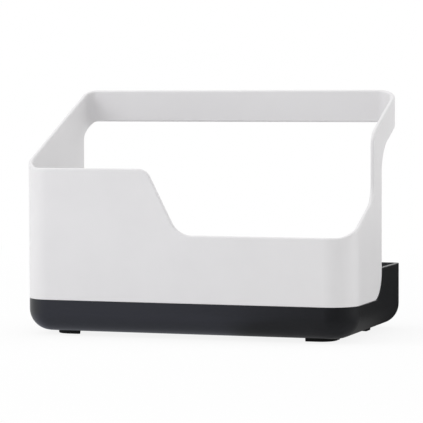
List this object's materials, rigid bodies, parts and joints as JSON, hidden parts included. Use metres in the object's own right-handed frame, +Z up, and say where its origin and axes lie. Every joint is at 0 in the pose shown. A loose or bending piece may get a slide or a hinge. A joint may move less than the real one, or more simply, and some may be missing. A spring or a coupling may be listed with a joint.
{
  "type": "kitchen sink caddy",
  "caption": "Open moulded caddy for sponges and brushes, with a raised rear cloth rail, lifting out of a dark drip tray on rubber feet.",
  "frame": {"origin": "on the surface that the caddy stands on, at the middle of its width and depth", "axes": "+X to the right as seen from the front, +Y to the rear, +Z up"},
  "size_m": [0.22, 0.116, 0.1558],
  "materials": {
    "white_plastic": "satin moulded",
    "dark_plastic": "satin moulded",
    "rubber": "matt"
  },
  "bodies": {
    "tray": {"drip_tray": "dark_plastic", "foot_front_left": "rubber", "foot_front_right": "rubber", "foot_rear_left": "rubber", "foot_rear_right": "rubber"},
    "upper": {"upper_body": "white_plastic"}
  },
  "joints": [
    {"name": "body_lift", "type": "slide", "parent": "tray", "child": "upper", "axis": [0, 0, 1], "range_m": [0, 0.06]}
  ]
}
